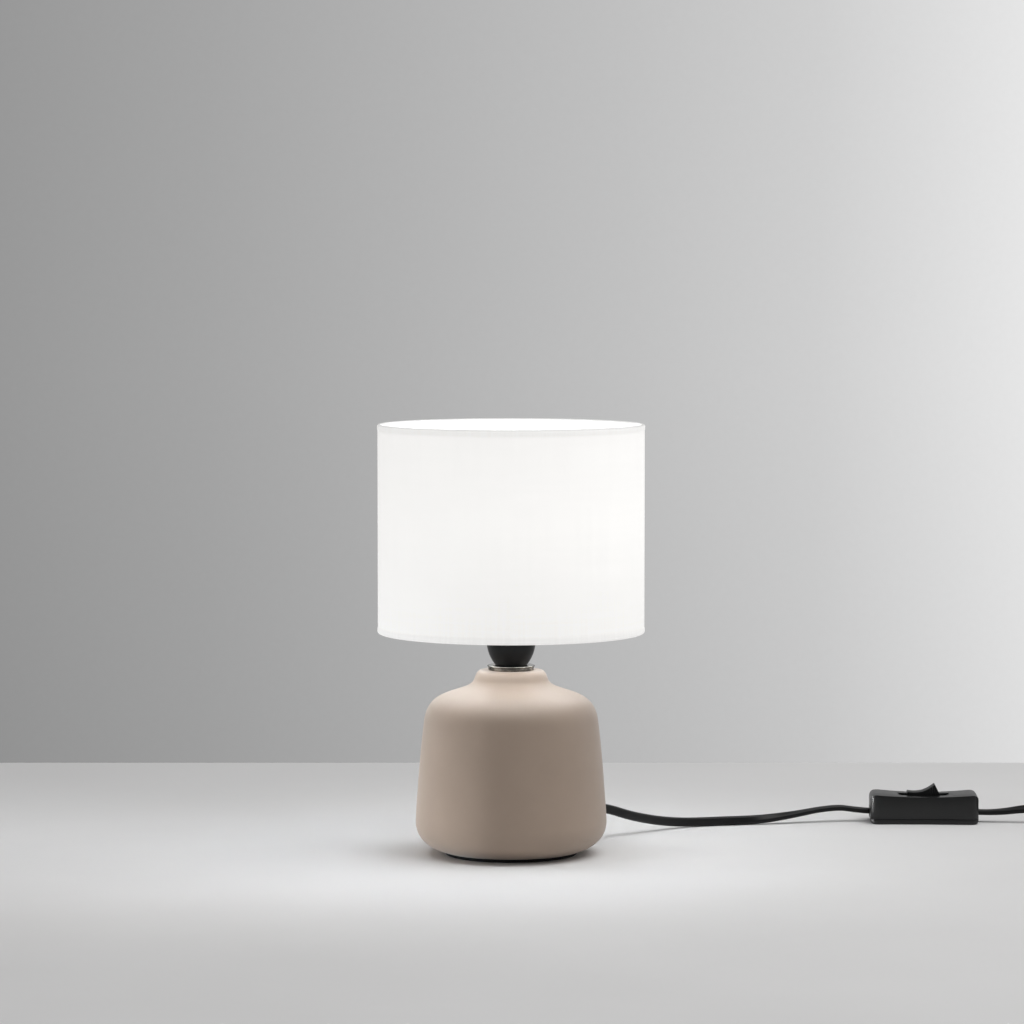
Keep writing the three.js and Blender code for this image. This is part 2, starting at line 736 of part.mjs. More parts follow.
for (const [end, side] of [
  ["in", -1],
  ["out", 1],
]) {
  const route = [
    [side * 21.7, -1.4, 6.4],
    [side * 19.6, -0.9, 6.4],
    [side * 17.4, 0, 6.4],
  ];
  add(`switch_live_core_${end}`, tubeAlong(route, 1, 5), BROWN_PVC, inlineSwitch);
}

// The neutral core runs through the switch uncut, beside the terminals.
const throughRoute = [
  [-21.4, 1.4, 6.4],
  [-18.5, 3.6, 5.6],
  [-14, 5.6, 4.4],
  [0, 5.8, 3.4],
  [14, 5.6, 4.4],
  [18.5, 3.6, 5.6],
  [21.4, 1.4, 6.2],
];
add("switch_through_core", tubeAlong(throughRoute, CORE_RADIUS, 20), BLUE_PVC, inlineSwitch);

// ---------------------------------------------------------------- plug

const plug = new THREE.Group();
plug.position.copy(PLUG_PLACE);
plug.rotation.z = PLUG_TURN;
lamp.add(plug);

const PLUG_AXIS = PLUG_THICK / 2;
const PIN_RADIUS = 2;
const PIN_SPACING = 18.6;
const PIN_LENGTH = 19;
const RELIEF_LENGTH = 24;
const PLUG_BODY_LENGTH = 26;

function plugBody() {
  const half = PLUG_WIDTH / 2;
  const plan = new THREE.Shape();
  plan.moveTo(RELIEF_LENGTH, -6);
  plan.quadraticCurveTo(RELIEF_LENGTH + 5, -7.5, RELIEF_LENGTH + 12, -half);
  plan.lineTo(RELIEF_LENGTH + PLUG_BODY_LENGTH, -half);
  plan.lineTo(RELIEF_LENGTH + PLUG_BODY_LENGTH, half);
  plan.lineTo(RELIEF_LENGTH + 12, half);
  plan.quadraticCurveTo(RELIEF_LENGTH + 5, 7.5, RELIEF_LENGTH, 6);
  const slab = prism(plan, PLUG_THICK);
  const section = polygon([
    [-half, 3.4],
    [-half + 4.2, 0],
    [half - 4.2, 0],
    [half, 3.4],
    [half, PLUG_THICK - 3.4],
    [half - 4.2, PLUG_THICK],
    [-half + 4.2, PLUG_THICK],
    [-half, PLUG_THICK - 3.4],
  ]);
  const bar = new THREE.ExtrudeGeometry(section, {
    depth: PLUG_BODY_LENGTH + 2,
    bevelEnabled: false,
  });
  const upright = new THREE.Matrix4().set(0, 0, 1, RELIEF_LENGTH - 1, 1, 0, 0, 0, 0, 1, 0, 0, 0, 0, 0, 1);
  const body = common(slab, moved(bar, upright));
  const relief = new THREE.CylinderGeometry(5.6, 3.9, RELIEF_LENGTH + 1, 16)
    .rotateZ(-Math.PI / 2)
    .translate((RELIEF_LENGTH + 1) / 2, 0, PLUG_AXIS);
  const pinHoles = [-1, 1].map((s) =>
    moved(rod(PIN_RADIUS + 0.1, -6, 2, 16), alongX, at(50, (s * PIN_SPACING) / 2, PLUG_AXIS)),
  );
  return cut(joined(body, relief), ...pinHoles);
}

add("plug_body", plugBody(), BLACK_PLASTIC, plug);
for (const [i, side] of [-1, 1].entries()) {
  const face = RELIEF_LENGTH + PLUG_BODY_LENGTH;
  const place = at(face, (side * PIN_SPACING) / 2, PLUG_AXIS);
  const pin = turned(
    [
      [0, -5.6],
      [1.5, -5.6],
      [1.5, 9.9],
      [PIN_RADIUS, 10],
      [PIN_RADIUS, PIN_LENGTH - 1.4],
      [1.1, PIN_LENGTH],
      [0, PIN_LENGTH],
    ],
    16,
  );
  add(`plug_pin_${i + 1}`, moved(pin, alongX, place), NICKEL, plug);
  add(`plug_pin_sleeve_${i + 1}`, moved(sleeve(1.6, 1.95, -5.6, 9.8, 16), alongX, place), BLACK_PLASTIC, plug);
}

export default lamp;
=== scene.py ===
"""The looks of a small bedside lamp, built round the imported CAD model.

Lengths are in millimetres in the tables and formulas, and become metres when a mesh is made.
The numbers of materials, of lights and of the floor are in metres.
"""

import json
import math

import bmesh
import bpy
from mathutils import Matrix, Vector, noise

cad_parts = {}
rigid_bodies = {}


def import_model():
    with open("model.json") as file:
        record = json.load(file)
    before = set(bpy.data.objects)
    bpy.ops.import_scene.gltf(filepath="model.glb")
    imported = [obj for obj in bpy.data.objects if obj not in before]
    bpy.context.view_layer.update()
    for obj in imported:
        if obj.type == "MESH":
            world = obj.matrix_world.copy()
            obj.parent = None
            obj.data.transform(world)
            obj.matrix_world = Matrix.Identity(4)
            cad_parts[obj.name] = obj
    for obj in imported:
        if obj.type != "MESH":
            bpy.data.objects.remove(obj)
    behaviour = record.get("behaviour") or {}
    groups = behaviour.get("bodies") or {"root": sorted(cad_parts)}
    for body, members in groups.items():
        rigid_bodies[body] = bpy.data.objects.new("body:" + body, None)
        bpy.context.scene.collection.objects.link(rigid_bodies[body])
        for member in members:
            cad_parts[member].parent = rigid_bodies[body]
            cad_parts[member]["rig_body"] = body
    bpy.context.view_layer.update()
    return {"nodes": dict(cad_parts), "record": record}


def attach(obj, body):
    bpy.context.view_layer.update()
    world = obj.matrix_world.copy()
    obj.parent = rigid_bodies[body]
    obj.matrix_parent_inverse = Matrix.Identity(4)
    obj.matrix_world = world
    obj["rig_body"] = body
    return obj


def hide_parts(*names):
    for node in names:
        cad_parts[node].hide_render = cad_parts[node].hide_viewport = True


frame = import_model()
MM = 0.001

# ---------------------------------------------------------------- driving dimensions

PAD_THICK = 2
BODY_RADIUS = 55.5
BODY_TOP = 107.3

NECK_DISC_THICK = 2.8
HOLDER_BASE = BODY_TOP + NECK_DISC_THICK
CAP_RIM = 124
FLANGE_TOP = 137.6
BARREL_PITCH = 1.5  # of the thread outside the holder's barrel

SHADE_RADIUS = 77.5
SHADE_TOP = 250
SHADE_BOTTOM = 129
SHADE_HEIGHT = SHADE_TOP - SHADE_BOTTOM
HEM = 1.2  # radius of the roll at each edge of the shade
HEM_TALL = 3.2  # height of each edge, which glows less than the rest
BRIGHTEST = 196  # height at which the shade glows most
WIRE = 0.7  # radius of the wire in each roll
CLOTH_THICK = 0.45
THREADS_ROUND = 900  # a whole number, so that the weave meets itself

GLOBE_RADIUS = 22.5
GLOBE_CENTRE = 184
GLOBE_CUT = 173.1  # where the globe ends on its collar
CAP_PITCH = 2.822  # of the bulb's screw thread

EXIT_HEIGHT = 20
EXIT_TURN = Matrix.Rotation(math.radians(-45), 4, "Z")  # from +Y towards +X
CORD_WIDE = 5.6
CORD_THICK = 3.4
CORD_REST = CORD_WIDE / 2 + 0.15  # height of the axis where the cord lies on its edge

SWITCH_CENTRE = 252.9  # along X
GRIP_PITCH = 1.2  # of the finger ridges on the rocker

# ---------------------------------------------------------------- camera

LENS = 146.8
CAMERA_PLACE = (0.51, -2412.2, 360.5)
CAMERA_DOWN = 3.83  # degrees below level


def make_camera():
    data = bpy.data.cameras.new("camera")
    data.sensor_width = 36
    data.lens = LENS
    data.clip_start = 0.05
    data.clip_end = 60
    camera = bpy.data.objects.new("camera", data)
    bpy.context.scene.collection.objects.link(camera)
    camera.location = Vector(CAMERA_PLACE) * MM
    camera.rotation_euler = (math.radians(90 - CAMERA_DOWN), 0, 0)
    bpy.context.scene.camera = camera


make_camera()

# ---------------------------------------------------------------- mesh helpers


def made_piece(name, points, faces, body, material, sharp=35):
    """A mesh piece from points in millimetres, on a body, smooth but for edges sharper than an angle."""
    mesh = bpy.data.meshes.new(name)
    mesh.from_pydata([Vector(p) * MM for p in points], [], faces)
    mesh.validate()
    return finished(mesh, name, body, material, sharp)


def finished(mesh, name, body, material, sharp=35):
    """The piece made of a mesh in metres, welded, shaded, and given its body and slot."""
    work = bmesh.new()
    work.from_mesh(mesh)
    bmesh.ops.remove_doubles(work, verts=work.verts, dist=1e-7)
    bmesh.ops.recalc_face_normals(work, faces=work.faces)
    work.to_mesh(mesh)
    work.free()
    mesh.materials.clear()
    mesh.materials.append(material)
    piece = bpy.data.objects.new(name, mesh)
    bpy.context.scene.collection.objects.link(piece)
    mesh.shade_smooth()
    mesh.set_sharp_from_angle(angle=math.radians(sharp))
    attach(piece, body)
    return piece


def ring_faces(count, rings, closed):
    """Quads between rings of points that are listed one after another; the first joins the last if closed."""
    faces = []
    for r in range(rings if closed else rings - 1):
        a, b = r * count, (r + 1) % rings * count
        for i in range(count):
            j = (i + 1) % count
            faces.append((a + i, a + j, b + j, b + i))
    return faces


def turned(name, profile, body, material, segments=128, closed=True, sharp=35, wave=None):
    """A profile of (radius, height) points turned about the Z axis. wave moves each point, if given."""
    points = []
    for r, z in profile:
        for i in range(segments):
            a = 2 * math.pi * i / segments
            points.append(Vector((r * math.cos(a), r * math.sin(a), z)))
    if wave:
        points = [wave(p) for p in points]
    faces = ring_faces(segments, len(profile), closed)
    if not closed:
        faces.append(tuple(range(segments))[::-1])
        faces.append(tuple(range(len(points) - segments, len(points))))
    return made_piece(name, points, faces, body, material, sharp)


def bezier(a, b, c, d, steps):
    """Points of a cubic curve, without its first."""
    points = []
    for i in range(1, steps + 1):
        t = i / steps
        s = 1 - t
        weights = (s**3, 3 * s * s * t, 3 * s * t * t, t**3)
        points.append(tuple(sum(w * p[k] for w, p in zip(weights, (a, b, c, d))) for k in (0, 1)))
    return points


def quadratic(a, b, c, steps):
    """Points of a quadratic curve, without its first."""
    first = (a[0] + 2 / 3 * (b[0] - a[0]), a[1] + 2 / 3 * (b[1] - a[1]))
    second = (c[0] + 2 / 3 * (b[0] - c[0]), c[1] + 2 / 3 * (b[1] - c[1]))
    return bezier(a, first, second, c, steps)


def catmull(points, per_span):
    """A smooth line through the points."""
    line = []
    last = len(points) - 1
    for i in range(last):
        p0, p1, p2, p3 = (Vector(points[min(max(i + k, 0), last)]) for k in (-1, 0, 1, 2))
        for k in range(per_span):
            t = k / per_span
            line.append(
                0.5
                * (
                    2 * p1
                    + (p2 - p0) * t
                    + (2 * p0 - 5 * p1 + 4 * p2 - p3) * t * t
                    + (3 * p1 - p0 - 3 * p2 + p3) * t**3
                )
            )
    line.append(Vector(points[last]))
    return line


def evenly(line, step):
    """The line again, with its points about step apart."""
    lengths = [0.0]
    for a, b in zip(line, line[1:]):
        lengths.append(lengths[-1] + (b - a).length)
    count = max(2, round(lengths[-1] / step))
    points = []
    k = 0
    for i in range(count + 1):
        want = lengths[-1] * i / count
        while k < len(lengths) - 2 and lengths[k + 1] < want:
            k += 1
        span = lengths[k + 1] - lengths[k]
        points.append(line[k].lerp(line[k + 1], 0 if span == 0 else (want - lengths[k]) / span))
    return points


def smooth_step(x):
    """From 0 to 1 as x goes from 0 to 1, and level outside."""
    x = min(max(x, 0), 1)
    return x * x * (3 - 2 * x)


def swept(name, line, section, body, material, sharp=50):
    """A closed tube along the line. section(i) gives the ring's points as (across, up) from the line."""
    points = []
    count = len(line)
    for i, p in enumerate(line):
        ahead = (line[min(i + 1, count - 1)] - line[max(i - 1, 0)]).normalized()
        side = ahead.cross(Vector((0, 0, 1))).normalized()
        up = side.cross(ahead).normalized()
        ring = section(i)
        points += [p + side * a + up * b for a, b in ring]
    size = len(ring)
    faces = ring_faces(size, count, False)
    faces.append(tuple(range(size))[::-1])
    faces.append(tuple(range(len(points) - size, len(points))))
    return made_piece(name, points, faces, body, material, sharp)


# ---------------------------------------------------------------- materials


class Nodes:
    """A node tree, with a short name for each kind of node that is used often."""

    def __init__(self, tree, place):
        self.tree = tree
        self.place = self.node("ShaderNodeTexCoord").outputs[place]

    def node(self, kind, **settings):
        made = self.tree.nodes.new(kind)
        for key, value in settings.items():
            setattr(made, key, value)
        return made

    def link(self, source, target):
        self.tree.links.new(source, target)

    def feed(self, node, *values):
        """Gives the node's inputs their values in order: links, numbers or colours."""
        for socket, value in zip(node.inputs, values):
            if isinstance(value, bpy.types.NodeSocket):
                self.link(value, socket)
            else:
                socket.default_value = value
        return node.outputs[0]

    def maths(self, operation, *values):
        return self.feed(self.node("ShaderNodeMath", operation=operation), *values)

    def axes(self):
        """X, Y and Z of the place."""
        made = self.node("ShaderNodeSeparateXYZ")
        self.feed(made, self.place)
        return made.outputs["X"], made.outputs["Y"], made.outputs["Z"]

    def vector(self, *values):
        return self.feed(self.node("ShaderNodeCombineXYZ"), *values)

    def noise(self, scale, detail=3.0, roughness=0.5, place=None):
        made = self.node("ShaderNodeTexNoise")
        self.link(place or self.place, made.inputs["Vector"])
        made.inputs["Scale"].default_value = scale
        made.inputs["Detail"].default_value = detail
        made.inputs["Roughness"].default_value = roughness
        return made.outputs["Fac"]

    def ramp(self, factor, *stops):
        """A ramp of (position, tone) stops, where a tone is a number or a colour."""
        made = self.node("ShaderNodeValToRGB")
        ramp = made.color_ramp
        while len(ramp.elements) < len(stops):
            ramp.elements.new(0.5)
        for element, (position, tone) in zip(ramp.elements, stops):
            element.position = position
            element.color = (*tone, 1) if hasattr(tone, "__len__") else (tone, tone, tone, 1)
        return self.feed(made, factor)

    def mapped(self, value, low, high, start=0.0, end=1.0):
        """value brought from the range start to end into the range low to high."""
        made = self.node("ShaderNodeMapRange")
        return self.feed(made, value, start, end, low, high)


class Surface(Nodes):
    """A node material built round one Principled shader."""

    def __init__(self, name, roughness=0.5, metallic=0.0, specular=0.5):
        self.material = bpy.data.materials.new(name)
        self.material.use_nodes = True
        super().__init__(self.material.node_tree, "Object")
        self.shader = self.tree.nodes["Principled BSDF"]
        self.even("Roughness", roughness)
        self.even("Metallic", metallic)
        self.even("Specular IOR Level", specular)

    def even(self, socket, value):
        """One value of the shader that is the same all over the surface."""
        self.shader.inputs[socket].default_value = value

    def colour(self, source):
        self.link(source, self.shader.inputs["Base Color"])

    def rough(self, factor, low, high):
        self.link(self.mapped(factor, low, high), self.shader.inputs["Roughness"])

    def glow(self, strength, colour):
        self.link(strength, self.shader.inputs["Emission Strength"])
        self.even("Emission Color", (*colour, 1))

    def bump(self, height, distance, strength=1.0, under=None):
        made = self.node("ShaderNodeBump")
        made.inputs["Distance"].default_value = distance
        made.inputs["Strength"].default_value = strength
        self.link(height, made.inputs["Height"])
        if under:
            self.link(under, made.inputs["Normal"])
        self.link(made.outputs["Normal"], self.shader.inputs["Normal"])
        return made.outputs["Normal"]


def shaded(colour, amount):
    return tuple(c * amount for c in colour)


def ceramic_surface():
    """Matt glaze: faint clouds of colour, a broad waviness, and a fine tooth."""
    made = Surface("matt_taupe_ceramic", 0.55, specular=0.45)
    taupe = (0.352, 0.27, 0.211)
    cloud = made.noise(28, 4, 0.55)
    made.colour(made.ramp(cloud, (0.3, shaded(taupe, 0.955)), (0.52, taupe), (0.75, shaded(taupe, 1.035))))
    made.rough(made.noise(160, 5, 0.6), 0.5, 0.6)
    broad = made.bump(made.noise(55, 2, 0.5), 0.00035, 0.35)
    made.bump(made.noise(1500, 3, 0.65), 0.00004, 0.5, broad)
    made.even("Sheen Weight", 0.22)
    made.even("Sheen Roughness", 0.5)
    return made.material


def plastic_surface(name, colour, roughness, grain=2600, depth=0.00002, streak=1.25, specular=0.5):
    """Moulded plastic: a fine grain of some depth, and handling marks in its colour and gloss."""
    made = Surface(name, roughness, specular=specular)
    wear = made.noise(90, 5, 0.6)
    made.colour(made.ramp(wear, (0.3, shaded(colour, 0.85)), (0.7, shaded(colour, streak))))
    made.rough(made.noise(240, 4, 0.6), roughness - 0.06, roughness + 0.08)
    made.bump(made.noise(grain, 3, 0.6), depth, 0.5)
    return made.material


def rocker_surface():
    """Glossy plastic with fine finger ridges across the half of the key that stands up."""
    made = Surface("rocker_black_plastic", 0.34, specular=0.07)
    black = (0.012, 0.012, 0.0124)
    made.colour(made.ramp(made.noise(90, 5, 0.6), (0.3, shaded(black, 0.85)), (0.7, shaded(black, 1.2))))
    made.rough(made.noise(240, 4, 0.6), 0.28, 0.42)
    x, _, _ = made.axes()
    along = made.maths("SUBTRACT", x, SWITCH_CENTRE * MM)
    wave = made.maths("SINE", made.maths("MULTIPLY", along, 2 * math.pi / (GRIP_PITCH * MM)))
    centimetres = made.maths("MULTIPLY", along, 100)
    ridged = made.ramp(centimetres, (0.24, 0), (0.3, 1), (0.78, 1), (0.84, 0))
    made.bump(made.maths("MULTIPLY", wave, ridged), 0.00018, 0.8)
    return made.material


def metal_surface(name, colour, roughness):
    """Plated or bright metal with small marks that dull it here and there."""
    made = Surface(name, roughness, metallic=1.0)
    mark = made.noise(900, 4, 0.6)
    made.colour(made.ramp(mark, (0.3, shaded(colour, 0.88)), (0.7, colour)))
    made.rough(made.noise(350, 5, 0.65), roughness * 0.8, roughness * 1.35)
    made.bump(mark, 0.00001, 0.3)
    return made.material


def neck_surface():
    """Turned and polished metal, with a reflection of a room of bright and dark spots painted into its
    colour.
    """
    made = Surface("neck_nickel_painted_reflections", 0.14, metallic=1.0)
    dark, middle, bright = (0.1, 0.093, 0.083), (0.19, 0.178, 0.16), (0.52, 0.485, 0.43)
    around, up = 130, 260  # changes of tone per metre
    stretched = [made.maths("MULTIPLY", axis, pace) for axis, pace in zip(made.axes(), (around, around, up))]
    # painted reflection: blotches of colour, stretched along the turning, stand for a mirrored room of bright
    # and dark
    painted_reflection_tone = made.noise(1, 2, 0.6, made.vector(*stretched))
    made.colour(made.ramp(painted_reflection_tone, (0.40, dark), (0.52, middle), (0.66, bright)))
    made.rough(made.noise(500, 3, 0.6), 0.1, 0.2)
    made.bump(made.noise(1200, 2, 0.5), 0.00001, 0.3)
    return made.material


def foam_surface():
    made = Surface("black_foam", 0.95, specular=0.2)
    cells = made.node("ShaderNodeTexVoronoi")
    made.link(made.place, cells.inputs["Vector"])
    cells.inputs["Scale"].default_value = 1800
    # the colour is darkest in the pit of each cell: painted shade in the pores
    made.colour(made.ramp(cells.outputs["Distance"], (0.1, 0.004), (0.8, 0.022)))
    made.rough(cells.outputs["Distance"], 0.85, 1.0)
    made.bump(cells.outputs["Distance"], 0.0002, 0.8)
    return made.material


def around_and_up(made):
    """Distance round the shade and height, in metres, from the place on its skin."""
    x, y, z = made.axes()
    return made.maths("MULTIPLY", made.maths("ARCTAN2", x, y), SHADE_RADIUS * MM), z


def weave(made, around, height):
    """Height of a plain weave: warp and weft take turns on top."""
    pace = THREADS_ROUND / (2 * SHADE_RADIUS * MM)
    across = made.maths("SINE", made.maths("MULTIPLY", around, pace))
    along = made.maths("SINE", made.maths("MULTIPLY", height, pace))
    warp = made.maths("ABSOLUTE", across)
    weft = made.maths("ABSOLUTE", along)
    turn = made.maths("MULTIPLY", across, along)
    over = made.maths("MULTIPLY_ADD", turn, 0.5, 0.5)
    raised = made.maths("MULTIPLY", warp, over)
    lowered = made.maths("MULTIPLY", weft, made.maths("SUBTRACT", 1.0, over))
    return made.maths("ADD", raised, lowered)


def slubs(made, around, height):
    """Uneven threads: streaks along the weft and along the warp."""
    slow, fast = 14, 420  # changes per metre along a thread and across it
    streaks = []
    for pace_around, pace_up in ((slow, fast), (fast, slow)):
        stretched = made.maths("MULTIPLY", around, pace_around), made.maths("MULTIPLY", height, pace_up)
        streaks.append(made.noise(1, 3, 0.6, made.vector(*stretched)))
    return made.maths("MULTIPLY", made.maths("ADD", *streaks), 0.5)


def shade_surface(name, glow, hem_glow):
    """White cloth with the bulb's light through it painted on as a glow. The painted glow falls to the hems',
    and is greatest beside the bulb.
    """
    made = Surface(name, 0.88, specular=0.18)
    around, height = around_and_up(made)
    uneven = slubs(made, around, height)
    # the colour is kept darker than white cloth, so that lamps outside add little beside the painted glow
    made.colour(made.ramp(uneven, (0.35, (0.27, 0.268, 0.263)), (0.65, (0.32, 0.318, 0.312))))
    made.bump(weave(made, around, height), 0.00012, 0.35)
    above = made.maths("SUBTRACT", height, SHADE_BOTTOM * MM)
    share = made.maths("DIVIDE", above, SHADE_HEIGHT * MM)
    hem = HEM_TALL / SHADE_HEIGHT
    step = 0.014  # of the height, from the hem's glow to the cloth's
    # painted glow by height; dimmer at each hem and darkest at the very top edge, painted shade where the
    # rolled edge holds back light
    fall = made.ramp(
        share,
        (0.0, hem_glow * 0.92),
        (hem, hem_glow * 0.95),
        (hem + step, glow * 0.895),
        ((BRIGHTEST - SHADE_BOTTOM) / SHADE_HEIGHT, glow),
        (1 - hem - step, glow * 0.975),
        (1 - hem, hem_glow),
        (0.994, hem_glow),
        (0.999, hem_glow * 0.6),
    )
    thread = made.maths("MULTIPLY_ADD", uneven, 0.09, 0.955)
    made.glow(made.maths("MULTIPLY", fall, thread), (1.0, 0.99, 0.972))
    made.even("Sheen Weight", 0.15)
    return made.material


def lining_surface():
    """The film behind the cloth, with the bulb's light on it painted as a glow, which is less towards the
    top.
    """
    made = Surface("shade_lining_painted_glow", 0.4, specular=0.4)
    cloud = made.noise(60, 3, 0.5)
    made.colour(made.ramp(cloud, (0.3, (0.82, 0.81, 0.79)), (0.7, (0.88, 0.87, 0.85))))
    _, _, height = made.axes()
    share = made.maths("DIVIDE", height, SHADE_TOP * MM)
    # painted light: the glow fades towards the top of the shade
    fade = made.ramp(share, (0.84, 1.0), (0.98, 0.0))
    strength = made.maths("MULTIPLY_ADD", fade, 0.83, 0.78)
    uneven = made.maths("MULTIPLY_ADD", cloud, 0.16, 0.92)
    made.glow(made.maths("MULTIPLY", strength, uneven), (0.86, 0.93, 1.0))
    made.bump(made.noise(700, 2, 0.5), 0.00003, 0.3)
    return made.material


def globe_surface():
    made = Surface("bulb_opal_diffuser", 0.4)
    cloud = made.noise(50, 2, 0.5)
    made.colour(made.ramp(cloud, (0.3, (0.88, 0.86, 0.80)), (0.7, (0.92, 0.90, 0.85))))
    made.glow(made.maths("MULTIPLY_ADD", cloud, 0.6, 4.0), (1.0, 0.95, 0.86))
    made.bump(made.noise(2500, 2, 0.5), 0.00001, 0.3)
    return made.material


CERAMIC = ceramic_surface()
HOLDER_BLACK = plastic_surface(
    "holder_black_plastic", (0.0065, 0.0065, 0.0066), 0.4, grain=2200, streak=1.15, specular=0.17
)
SWITCH_BLACK = plastic_surface(
    "switch_black_plastic", (0.008, 0.0083, 0.0085), 0.32, 3000, 0.000012, streak=1.2, specular=0.45
)
ROCKER_BLACK = rocker_surface()
PLUG_BLACK = plastic_surface("plug_black_plastic", (0.018, 0.018, 0.019), 0.38, grain=2400)
CORD_BLACK = plastic_surface("cord_black_pvc", (0.0055, 0.0055, 0.0057), 0.4, grain=1500, specular=0.25)
WHITE_PLASTIC = plastic_surface("white_plastic", (0.80, 0.79, 0.77), 0.42, 1800, 0.00001, streak=1.03)
PORCELAIN = plastic_surface("unglazed_porcelain", (0.68, 0.65, 0.58), 0.6, 1400, 0.00003, streak=1.06)
WHITE_ENAMEL = plastic_surface("white_powder_coat", (0.76, 0.76, 0.74), 0.38, 3200, 0.00003, streak=1.03)
BROWN_CORE = plastic_surface("brown_insulation", (0.10, 0.04, 0.018), 0.4)
BLUE_CORE = plastic_surface("blue_insulation", (0.02, 0.075, 0.28), 0.4)
NICKEL = metal_surface("polished_nickel", (0.60, 0.57, 0.52), 0.17)
STEEL = metal_surface("zinc_plated_steel", (0.58, 0.59, 0.60), 0.34)
BRASS = metal_surface("bright_brass", (0.70, 0.48, 0.17), 0.3)
NECK_NICKEL_PAINTED_REFLECTION = neck_surface()
FOAM = foam_surface()
GLOBE = globe_surface()
LINING_PAINTED_GLOW = lining_surface()

# ---------------------------------------------------------------- free cord

SHEATH_SIDES = 10  # round each edge of the flat sheath
HOLLOW = 0.94  # share of the thickness that is left between the cores

lamp_side_route = [
    (47, 47, 20),
    (52, 52, 19.3),
    (57, 57, 18),
    (62, 62, 16.1),
    (67.2, 67.2, 13.8),
    (73.5, 74.2, 11.2),
    (80, 81.6, 8.9),
    (87.5, 89.6, 6.6),
    (96, 97.4, 4.7),
    (105.6, 104.2, 3.4),
    (117, 109, CORD_REST),
    (129.6, 112.6, CORD_REST),
    (142, 115.6, CORD_REST),
    (155.3, 118.8, 3.5),
    (171.8, 123.2, 5.3),
    (188.2, 127.6, 7.7),
    (200.9, 130.6, 8.5),
    (210.2, 132, 7.4),
    (220, 132.05, 6.5),
    (230.8, 131.57, 6.4),
]
plug_side_route = [
    (274.9, 129.64, 6.2),
    (286.4, 129.14, 6.1),
    (294.4, 128.7, 6.1),
    (303, 127.6, 6.8),
    (313, 126.3, 8.2),
    (323, 125, 8.8),
    (334, 124.2, 7.2),
    (346.5, 124, 4.6),
    (356, 124.4, 3.6),
]
tail_route = [
    (383.5, 123.6, 7.4),
    (395, 123, 4.6),
    (408, 122.3, 3.2),
    (420, 121.6, 4.2),
    (430, 121.1, 6),
    (437.6, 120.81, 6.85),
]

COIL_CENTRE = Vector((365, 161, 0))
COIL_LAYERS = (3.5, 9.2)
COIL_LOWER = (36.2, 32.5, 28.8, 25.1)  # turn radii from the outside in, then from the inside out
COIL_UPPER = (25.1, 30.6, 36.2)
COIL_START = COIL_CENTRE + Vector((0, -COIL_LOWER[0], COIL_LAYERS[0]))
COIL_END = COIL_CENTRE + Vector((0, -COIL_UPPER[-1], COIL_LAYERS[1]))
TURN_POINTS = 48
CLIMB_FROM, STEP_FROM = 0.2, 0.58  # shares of a turn

LAMP_TWIST = (128, 60)  # where along X the flat sheath starts to turn over, and in what length
LEAD_TWIST = (288, 58)
TAIL_TWIST = (386, 36)
LEAD_POINTS = 60  # of the plug side's line, from the switch to the coil


def coil_line():
    """The turns lie beside each other, and step across in the last part of each turn."""
    radii = [*COIL_LOWER, *COIL_UPPER]
    points = []
    for turn, radius in enumerate(radii):
        coming = radii[min(turn + 1, len(radii) - 1)]
        layer = turn >= len(COIL_LOWER)
        climbs = turn == len(COIL_LOWER) - 1
        for i in range(TURN_POINTS):
            phase = i / TURN_POINTS
            r = radius + (coming - radius) * smooth_step((phase - STEP_FROM) / (1 - STEP_FROM))
            climb = smooth_step((phase - CLIMB_FROM) / (STEP_FROM - CLIMB_FROM)) if climbs else 0
            z = COIL_LAYERS[layer] + (COIL_LAYERS[1] - COIL_LAYERS[0]) * climb
            a = 2 * math.pi * phase - math.pi / 2
            points.append(COIL_CENTRE + Vector((r * math.cos(a), r * math.sin(a), z)))
    return points


def sheath_ring(turn):
    """The flat sheath's section, a bar with round edges, turned by an angle from upright."""
    straight = (CORD_WIDE - CORD_THICK) / 2
    ring = []
    for end in (1, -1):
        for i in range(SHEATH_SIDES + 1):
            a = math.pi * i / SHEATH_SIDES + (0 if end > 0 else math.pi)
            ring.append((CORD_THICK / 2 * math.cos(a), end * straight + CORD_THICK / 2 * math.sin(a)))
        ring.append((-end * CORD_THICK / 2 * HOLLOW, 0))
    c, s = math.cos(turn), math.sin(turn)
    return [(a * c - b * s, a * s + b * c) for a, b in ring]


def flat_cord(name, line, lying):
    """lying(point, index) is 0 where the wide side is upright and 1 where it lies flat."""
    turns = [lying(p, i) * math.pi / 2 for i, p in enumerate(line)]
    return swept(name, line, lambda i: sheath_ring(turns[i]), "lamp", CORD_BLACK)


def turned_over(point, twist):
    """How much of the twist is done at the point, from 0 to 1."""
    start, length = twist
    return smooth_step((point.x - start) / length)


def lamp_side_lying(point, index):
    """Upright where it leaves the lamp, and flat in the switch."""
    return turned_over(point, LAMP_TWIST)


def plug_side_lying(point, index):
    """Flat in the switch and in the plug, and upright in the coil."""
    if index < LEAD_POINTS:
        return 1 - turned_over(point, LEAD_TWIST)
    in_tail = point.x > COIL_CENTRE.x + 18 and point.y < 126
    return turned_over(point, TAIL_TWIST) if in_tail else 0


lamp_side_line = evenly(catmull(lamp_side_route, 12), 1.6)
plug_lead = catmull([*plug_side_route, COIL_START], 12)
plug_tail = catmull([COIL_END, *tail_route], 12)
plug_side_line = evenly(plug_lead[:-1] + coil_line() + plug_tail, 2.0)

cord_lamp = flat_cord("flat_cord_to_switch", lamp_side_line, lamp_side_lying)
cord_plug = flat_cord("flat_cord_to_plug", plug_side_line, plug_side_lying)
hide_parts("cord_lamp_side")
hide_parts("cord_plug_side", "cord_coil", "cord_tail")

# ---------------------------------------------------------------- pieces made from a CAD solid

SOFTEN_FROM = 28  # degrees between two faces


